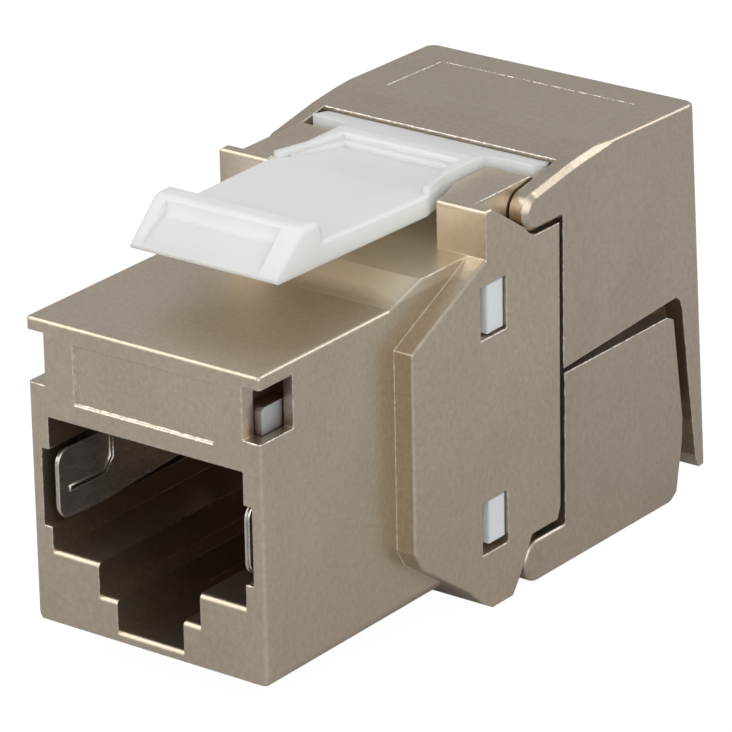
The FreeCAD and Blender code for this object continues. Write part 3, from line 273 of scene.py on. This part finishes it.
def nickel_finish(name, dark, light, edge, roughness):
    """Satin nickel on cast zinc: a blasted surface with speckle and cloudy patches, and bright edges."""
    finish = bpy.data.materials.new(name)
    finish.use_nodes = True
    tree = finish.node_tree
    shader = tree.nodes["Principled BSDF"]
    shader.inputs["Metallic"].default_value = 1.0
    speckle = use_group(tree, grain, Scale_X=9500.0, Scale_Y=9500.0, Scale_Z=8000.0, Roughness=0.7)
    mottle = use_group(tree, grain, Scale_X=3600.0, Scale_Y=3600.0, Scale_Z=3000.0, Roughness=0.6)
    clouds = use_group(tree, grain, Scale_X=260.0, Scale_Y=260.0, Scale_Z=180.0, Roughness=0.5)
    texture = tree.nodes.new("ShaderNodeMath")
    texture.operation = "ADD"
    tree.links.new(speckle.outputs["Value"], texture.inputs[0])
    tree.links.new(mottle.outputs["Value"], texture.inputs[1])
    blasted = tree.nodes.new("ShaderNodeBump")
    blasted.inputs["Distance"].default_value = 0.000004
    blasted.inputs["Strength"].default_value = 0.5
    tree.links.new(speckle.outputs["Value"], blasted.inputs["Height"])
    cast = tree.nodes.new("ShaderNodeBump")
    cast.inputs["Distance"].default_value = 0.000007
    cast.inputs["Strength"].default_value = 0.5
    tree.links.new(mottle.outputs["Value"], cast.inputs["Height"])
    tree.links.new(blasted.outputs["Normal"], cast.inputs["Normal"])
    wear = use_group(tree, edge_wear, Radius=0.00011, Patch_Scale=2600.0)
    tree.links.new(cast.outputs["Normal"], wear.inputs["Normal"])
    tree.links.new(wear.outputs["Normal"], shader.inputs["Normal"])
    flat = shade_between(tree, range_of(tree, clouds.outputs["Value"], 0.3, 0.7, 0.0, 1.0), dark, light)
    fine = shade_between(tree, range_of(tree, texture.outputs["Value"], 0.75, 1.25, 0.0, 1.0),
                         tuple(0.9 * c for c in dark), tuple(min(1.1 * c, 1) for c in light))
    body = shade_between(tree, 0.5, flat, fine)
    tree.links.new(shade_between(tree, wear.outputs["Mask"], body, edge), shader.inputs["Base Color"])
    rough = range_of(tree, speckle.outputs["Value"], 0.3, 0.7, roughness - 0.04, roughness + 0.06)
    rubbed = tree.nodes.new("ShaderNodeMix")
    tree.links.new(wear.outputs["Mask"], rubbed.inputs["Factor"])
    tree.links.new(rough, rubbed.inputs["A"])
    rubbed.inputs["B"].default_value = 0.22
    tree.links.new(rubbed.outputs["Result"], shader.inputs["Roughness"])
    return finish


bright_edge = (1.0, 0.99, 0.95)
nickel_zinc = nickel_finish("nickel_zinc", (0.59, 0.5, 0.385), (0.66, 0.565, 0.445), bright_edge, 0.34)
frame["nodes"]["front_housing"].material_slots[0].material = nickel_zinc


def zone(tree, low, high, fade):
    """A mask that is 1 in the middle of a box and fades to 0 over a given distance inside each face."""
    place = tree.nodes.new("ShaderNodeTexCoord")
    depth = place.outputs["Object"]
    for operation, other in (("SUBTRACT", (low + high) / 2), ("ABSOLUTE", None),
                             ("SUBTRACT", (high - low) / 2), ("DIVIDE", -Vector(fade))):
        step = tree.nodes.new("ShaderNodeVectorMath")
        step.operation = operation
        if other:
            step.inputs[1].default_value = other
        tree.links.new(depth, step.inputs[0])
        depth = step.outputs["Vector"]
    axes = tree.nodes.new("ShaderNodeSeparateXYZ")
    tree.links.new(depth, axes.inputs["Vector"])
    least = axes.outputs["X"]
    for axis in "YZ":
        smaller = tree.nodes.new("ShaderNodeMath")
        smaller.operation = "MINIMUM"
        tree.links.new(least, smaller.inputs[0])
        tree.links.new(axes.outputs[axis], smaller.inputs[1])
        least = smaller.outputs["Value"]
    return range_of(tree, least, 0.0, 1.0, 0.0, 1.0)


# Two zones of painted light and shade on the housing's plating: inside the port its colour is painted
# darker with depth (painted shade), and on the deck under the latch it is painted brighter (painted light).
# Each zone is a box with soft sides.
port_painted_shade, port_fade, port_length, port_inset = (0.25, 0.19, 0.145), 0.014, 0.026, 0.0002
port_spare, port_sill_spare, port_edge = 0.0013, 0.0003, 0.0001
deck_painted_light, deck_fade, deck_top_fade = (1.0, 0.9, 0.74), 0.003, 0.0003
deck_front, deck_back, deck_drop, ear_spare = 0.0026, 0.0046, 0.0017, 0.0001
tree = nickel_zinc.node_tree
shader = tree.nodes["Principled BSDF"]
housing_low, housing_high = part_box("front_housing")
latch_low, latch_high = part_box("snap_latch")
ports = [opening["box_m"] for opening in frame["record"]["physics"]["openings"]
         if opening["name"].startswith("plug")]
port_low = Vector((min(low[0] for low, high in ports) - port_spare, housing_low.y + port_inset,
                   min(low[2] for low, high in ports) - port_sill_spare))
port_high = Vector((-port_low.x, port_low.y + port_length, max(high[2] for low, high in ports) + port_spare))
# Painted shade: the plating's colour darkens deeper in the port, where less light reaches.
port_shade_mask = zone(tree, port_low, port_high, (port_edge, port_fade, port_edge))
unshaded_plating = shader.inputs["Base Color"].links[0].from_socket
port_shaded = shade_between(tree, port_shade_mask, unshaded_plating, port_painted_shade)
# Painted light: the deck under the latch is painted brighter and warmer, standing in for light that passes
# through the white latch and bounces under it.
deck_low = Vector((-housing_high.x, latch_low.y + deck_front, latch_low.z - deck_drop))
deck_high = Vector((housing_high.x, latch_high.y - deck_back, housing_high.z - ear_spare))
latch_light_mask = zone(tree, deck_low, deck_high, (deck_fade, deck_fade, deck_top_fade))
tree.links.new(shade_between(tree, latch_light_mask, port_shaded, deck_painted_light), shader.inputs["Base Color"])

# Plug contacts: eight strips of phosphor bronze, gold over nickel. Each is rolled at its root in the
# carrier and springs down into the plug.
gold_contact = bpy.data.materials.new("gold_contact")
gold_contact.use_nodes = True
tree = gold_contact.node_tree
shader = tree.nodes["Principled BSDF"]
shader.inputs["Metallic"].default_value = 1.0
rub = use_group(tree, grain, Scale_X=6000.0, Scale_Y=700.0, Scale_Z=6000.0, Roughness=0.5)
tree.links.new(shade_between(tree, range_of(tree, rub.outputs["Value"], 0.3, 0.7, 0.0, 1.0),
                             (0.78, 0.52, 0.2), (0.92, 0.66, 0.3)), shader.inputs["Base Color"])
tree.links.new(range_of(tree, rub.outputs["Value"], 0.3, 0.7, 0.18, 0.34), shader.inputs["Roughness"])
for index in range(1, 9):
    frame["nodes"][f"plug_contact_{index}"].material_slots[0].material = gold_contact

# Shield springs: two stamped leaves of tinned sheet in the sides of the port. They press on the
# metal shell of a plug and carry its screen to the casting.
spring_steel = bpy.data.materials.new("spring_steel")
spring_steel.use_nodes = True
tree = spring_steel.node_tree
shader = tree.nodes["Principled BSDF"]
shader.inputs["Metallic"].default_value = 0.9
rolled = use_group(tree, grain, Scale_X=1800.0, Scale_Y=900.0, Scale_Z=1800.0, Roughness=0.45)
sheet_wear = use_group(tree, edge_wear, Radius=0.00005, Patch_Scale=2500.0)
sheet = shade_between(tree, range_of(tree, rolled.outputs["Value"], 0.3, 0.7, 0.0, 1.0),
                      (0.58, 0.54, 0.49), (0.66, 0.62, 0.57))
tree.links.new(shade_between(tree, sheet_wear.outputs["Mask"], sheet, (1.0, 0.98, 0.94)),
               shader.inputs["Base Color"])
tree.links.new(sheet_wear.outputs["Normal"], shader.inputs["Normal"])
tree.links.new(range_of(tree, rolled.outputs["Value"], 0.3, 0.7, 0.24, 0.3), shader.inputs["Roughness"])
for side in ("right", "left"):
    frame["nodes"][f"shield_spring_{side}"].material_slots[0].material = spring_steel

# Rolled rims of the springs: the edges of each sheet and the sides of the cut that frees its tongue
# end in a small round bead. A rim is part of its own spring and moves with it.
rim_radius, merge_distance, facing_in = 0.00009, 1e-7, 0.9
for side, inward in (("right", -1), ("left", 1)):
    rim_bm = bmesh.new()
    rim_bm.from_mesh(frame["nodes"][f"shield_spring_{side}"].data)
    bmesh.ops.remove_doubles(rim_bm, verts=rim_bm.verts[:], dist=merge_distance)
    away = [face for face in rim_bm.faces if face.normal.x * inward < facing_in]
    bmesh.ops.delete(rim_bm, geom=away, context="FACES")
    inner = [edge for edge in rim_bm.edges if not edge.is_boundary]
    bmesh.ops.delete(rim_bm, geom=inner, context="EDGES_FACES")
    rim_mesh = bpy.data.meshes.new(f"spring_rim_{side}")
    rim_bm.to_mesh(rim_mesh)
    rim_bm.free()
    rim = bpy.data.objects.new(f"spring_rim_{side}", rim_mesh)
    bpy.context.scene.collection.objects.link(rim)
    with bpy.context.temp_override(active_object=rim, object=rim, selected_objects=[rim],
                                   selected_editable_objects=[rim]):
        bpy.ops.object.convert(target="CURVE")
        rim.data.bevel_depth = rim_radius
        rim.data.bevel_resolution = 3
        bpy.ops.object.convert(target="MESH")
    rim.data.materials.clear()
    rim.data.materials.append(spring_steel)
    for face in rim.data.polygons:
        face.use_smooth = True
    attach(rim, f"{side}_spring")


def moulded_plastic(name, tone, shade, roughness, scatter):
    """A satin moulding: faint cloudiness, fine mould texture and softened edges."""
    finish = bpy.data.materials.new(name)
    finish.use_nodes = True
    tree = finish.node_tree
    shader = tree.nodes["Principled BSDF"]
    shader.inputs["Subsurface Weight"].default_value = scatter
    shader.inputs["Subsurface Radius"].default_value = (0.0026, 0.0023, 0.002)
    shader.inputs["Subsurface Scale"].default_value = 1.0
    mould = use_group(tree, grain, Scale_X=7000.0, Scale_Y=7000.0, Scale_Z=7000.0, Roughness=0.6)
    flow = use_group(tree, grain, Scale_X=220.0, Scale_Y=90.0, Scale_Z=220.0, Roughness=0.4)
    bump = tree.nodes.new("ShaderNodeBump")
    bump.inputs["Distance"].default_value = 0.000002
    bump.inputs["Strength"].default_value = 0.4
    tree.links.new(mould.outputs["Value"], bump.inputs["Height"])
    soft = use_group(tree, edge_wear, Radius=0.00016, Patch_Scale=800.0)
    tree.links.new(bump.outputs["Normal"], soft.inputs["Normal"])
    tree.links.new(soft.outputs["Normal"], shader.inputs["Normal"])
    body = shade_between(tree, range_of(tree, flow.outputs["Value"], 0.3, 0.7, 0.0, 1.0), shade, tone)
    lighter = tuple(min(1.04 * c + 0.01, 1) for c in tone)
    tree.links.new(shade_between(tree, soft.outputs["Mask"], body, lighter), shader.inputs["Base Color"])
    tree.links.new(range_of(tree, mould.outputs["Value"], 0.3, 0.7, roughness - 0.05, roughness + 0.07),
                   shader.inputs["Roughness"])
    return finish


# Inner mouldings: the terminal block that snaps into the collar's windows, and the wire holders that
# sit in the two covers, all in plain white plastic.
white_plastic = moulded_plastic("white_plastic", (0.78, 0.82, 0.84), (0.74, 0.78, 0.8), 0.38, 0.12)
for name in ("idc_block", "wire_holder_upper", "wire_holder_lower"):
    frame["nodes"][name].material_slots[0].material = white_plastic

# Window lugs: the outer ends of the terminal block's four hooks. They fill the collar's windows almost
# to the plate's face, are moulded with the block, and have softly rounded edges.
lug_recess, lug_round, flush, flat_angle = 0.00012, 0.0001, 1e-5, 0.02
block_low, block_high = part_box("idc_block")
lug_bm = bmesh.new()
lug_bm.from_mesh(frame["nodes"]["idc_block"].data)
bmesh.ops.remove_doubles(lug_bm, verts=lug_bm.verts[:], dist=merge_distance)
rest = [face for face in lug_bm.faces if abs(face.calc_center_median().x) < block_high.x - flush]
bmesh.ops.delete(lug_bm, geom=rest, context="FACES")
bmesh.ops.dissolve_limit(lug_bm, angle_limit=flat_angle, verts=lug_bm.verts[:], edges=lug_bm.edges[:])
caps = bmesh.ops.extrude_face_region(lug_bm, geom=lug_bm.faces[:])["geom"]
lug_stand = housing_high.x - block_high.x - lug_recess
for vert in (item for item in caps if isinstance(item, bmesh.types.BMVert)):
    vert.co.x += math.copysign(lug_stand, vert.co.x)
lug_edges = {edge for item in caps if isinstance(item, bmesh.types.BMFace) for edge in item.edges}
bmesh.ops.bevel(lug_bm, geom=list(lug_edges), offset=lug_round, offset_type="OFFSET", affect="EDGES",
                segments=3, profile=0.5, material=-1)
bmesh.ops.recalc_face_normals(lug_bm, faces=lug_bm.faces[:])
lug_mesh = bpy.data.meshes.new("window_lugs")
lug_bm.to_mesh(lug_mesh)
lug_bm.free()
window_lugs = bpy.data.objects.new("window_lugs", lug_mesh)
bpy.context.scene.collection.objects.link(window_lugs)
lug_mesh.materials.append(white_plastic)
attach(window_lugs, "housing")

# Contact carrier: the moulding in the roof of the port that holds the plug contacts, in a duller
# white. Its shoulders show in the corner windows, and its colour is painted a dark red-brown where little
# light reaches it, as painted shade.
carrier_painted_shade, shade_reach = (0.06, 0.02, 0.012), 0.0026
carrier_plastic = moulded_plastic("carrier_plastic", (0.5, 0.53, 0.54), (0.44, 0.47, 0.48), 0.34, 0.1)
tree = carrier_plastic.node_tree
shader = tree.nodes["Principled BSDF"]
# Painted shade: ambient occlusion darkens the carrier's colour towards a dark red-brown.
carrier_occlusion = tree.nodes.new("ShaderNodeAmbientOcclusion")
carrier_occlusion.inputs["Distance"].default_value = shade_reach
carrier_occlusion.samples = 8
unshaded_carrier = shader.inputs["Base Color"].links[0].from_socket
tree.links.new(shade_between(tree, range_of(tree, carrier_occlusion.outputs["AO"], 0.3, 0.95, 0.0, 1.0),
                             carrier_painted_shade, unshaded_carrier), shader.inputs["Base Color"])
frame["nodes"]["contact_carrier"].material_slots[0].material = carrier_plastic

# Snap latch: a white moulding hinged in the cradle, springy enough to bend at its root. Its thumb
# face is hollowed and a rim runs round the tray in front of the cover.
latch_plastic = moulded_plastic("latch_plastic", (0.83, 0.83, 0.805), (0.79, 0.79, 0.765), 0.34, 0.6)
frame["nodes"]["snap_latch"].material_slots[0].material = latch_plastic

# Circuit board: glass-fibre laminate under green resist, held upright between the contact carrier and
# the terminal block. It joins the plug contacts to the terminals.
board_green = bpy.data.materials.new("board_green")
board_green.use_nodes = True
tree = board_green.node_tree
shader = tree.nodes["Principled BSDF"]
weave = use_group(tree, grain, Scale_X=900.0, Scale_Y=900.0, Scale_Z=900.0, Roughness=0.7)
tree.links.new(shade_between(tree, range_of(tree, weave.outputs["Value"], 0.3, 0.7, 0.0, 1.0),
                             (0.01, 0.09, 0.035), (0.02, 0.16, 0.06)), shader.inputs["Base Color"])
tree.links.new(range_of(tree, weave.outputs["Value"], 0.3, 0.7, 0.25, 0.4), shader.inputs["Roughness"])
frame["nodes"]["circuit_board"].material_slots[0].material = board_green

# Terminals: eight forked blades of tinned bronze, stamped and pressed into the terminal block. Each
# cuts into the insulation of one conductor.
tinned_bronze = bpy.data.materials.new("tinned_bronze")
tinned_bronze.use_nodes = True
tree = tinned_bronze.node_tree
shader = tree.nodes["Principled BSDF"]
shader.inputs["Metallic"].default_value = 1.0
tin = use_group(tree, grain, Scale_X=3500.0, Scale_Y=3500.0, Scale_Z=600.0, Roughness=0.6)
tree.links.new(shade_between(tree, range_of(tree, tin.outputs["Value"], 0.3, 0.7, 0.0, 1.0),
                             (0.6, 0.58, 0.54), (0.75, 0.73, 0.69)), shader.inputs["Base Color"])
tree.links.new(range_of(tree, tin.outputs["Value"], 0.3, 0.7, 0.22, 0.42), shader.inputs["Roughness"])
for index in range(1, 9):
    frame["nodes"][f"idc_terminal_{index}"].material_slots[0].material = tinned_bronze

# Rear covers: two more castings in the same finish, a shade darker. They turn on trunnions in the
# collar, press the wires into the terminals and close round the cable.
cover_zinc = nickel_finish("cover_zinc", (0.545, 0.465, 0.365), (0.61, 0.525, 0.42), bright_edge, 0.33)
for name in ("upper_cover", "lower_cover"):
    frame["nodes"][name].material_slots[0].material = cover_zinc
